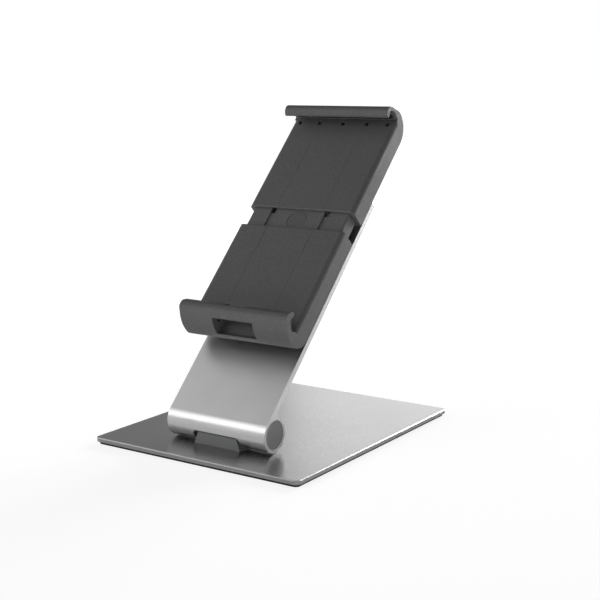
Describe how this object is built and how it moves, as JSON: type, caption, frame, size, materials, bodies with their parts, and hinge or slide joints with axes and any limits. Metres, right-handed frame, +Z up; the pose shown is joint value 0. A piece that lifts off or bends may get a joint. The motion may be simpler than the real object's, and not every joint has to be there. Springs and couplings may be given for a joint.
{
  "type": "tablet stand",
  "caption": "Table stand with a flat weighted base, a leaning aluminium arm on a tilt hinge and a swivelling holder whose hooked jaws slide apart together to grip a tablet.",
  "frame": {"origin": "centre of the underside of the rubber pad, which is the bottom centre of the bounding box", "axes": "+Z up, -Y towards the person who looks at the tablet, +X to that person's right, along the hinge axis"},
  "size_m": [0.155, 0.184, 0.2096],
  "materials": {
    "plate_steel": "satin",
    "pad_rubber": "matt",
    "foot_paint": "satin powder coat",
    "zinc_steel": "bright zinc",
    "spring_steel": "oiled",
    "arm_aluminium": "fine satin anodised",
    "cap_plastic": "matt",
    "glide_nylon": "natural",
    "carrier_plastic": "fine moulded texture",
    "jaw_plastic": "fine moulded texture",
    "grip_rubber": "matt"
  },
  "bodies": {
    "base": {"base_plate": "plate_steel", "base_pad": "pad_rubber", "hinge_foot": "foot_paint", "foot_screws": "zinc_steel", "hinge_shaft": "zinc_steel", "friction_discs": "spring_steel", "shaft_washers": "zinc_steel", "disc_springs": "spring_steel", "shaft_nut": "zinc_steel"},
    "arm": {"arm_extrusion": "arm_aluminium", "left_end_cap": "cap_plastic", "right_end_cap": "cap_plastic", "hinge_bushes": "glide_nylon", "swivel_plinth": "spring_steel", "plinth_screws": "zinc_steel", "glide_ring": "glide_nylon", "swivel_bolt": "zinc_steel", "swivel_washer": "zinc_steel", "wave_spring": "spring_steel"},
    "carrier": {"carrier_frame": "carrier_plastic", "carrier_cover": "carrier_plastic", "centre_cap": "jaw_plastic", "cover_screws": "zinc_steel", "brake_pads": "glide_nylon"},
    "pinion": {"drive_pinion": "glide_nylon"},
    "upper_jaw": {"upper_jaw_shell": "jaw_plastic", "upper_jaw_back": "jaw_plastic", "upper_rack": "glide_nylon", "upper_rack_screw": "zinc_steel", "upper_jaw_screws": "zinc_steel", "upper_grip_pad": "grip_rubber"},
    "lower_jaw": {"lower_jaw_shell": "jaw_plastic", "lower_jaw_back": "jaw_plastic", "lower_rack": "glide_nylon", "lower_rack_screw": "zinc_steel", "lower_jaw_screws": "zinc_steel", "lower_grip_pad": "grip_rubber"}
  },
  "joints": [
    {"name": "arm_tilt", "type": "hinge", "parent": "base", "child": "arm", "pos_m": [0, -0.057, 0.0161], "axis": [-1, 0, 0], "range_deg": [-6, 30]},
    {"name": "holder_swivel", "type": "hinge", "parent": "arm", "child": "carrier", "pos_m": [0, 0.03431, 0.1245], "axis": [0, -0.712, 0.7022], "continuous": true},
    {"name": "lower_jaw_slide", "type": "slide", "parent": "carrier", "child": "lower_jaw", "axis": [0, -0.7022, -0.712], "range_m": [-0.005, 0.028]},
    {"name": "upper_jaw_slide", "type": "slide", "parent": "carrier", "child": "upper_jaw", "axis": [0, 0.7022, 0.712], "range_m": [-0.005, 0.028]},
    {"name": "pinion_turn", "type": "hinge", "parent": "carrier", "child": "pinion", "pos_m": [0, 0.03431, 0.1245], "axis": [0, -0.712, 0.7022], "range_deg": [-24.5, 135]}
  ],
  "couplings": [
    {"joint": "upper_jaw_slide", "follows": "lower_jaw_slide", "ratio": 1},
    {"joint": "pinion_turn", "follows": "lower_jaw_slide", "rad_per_m": 83.333}
  ]
}
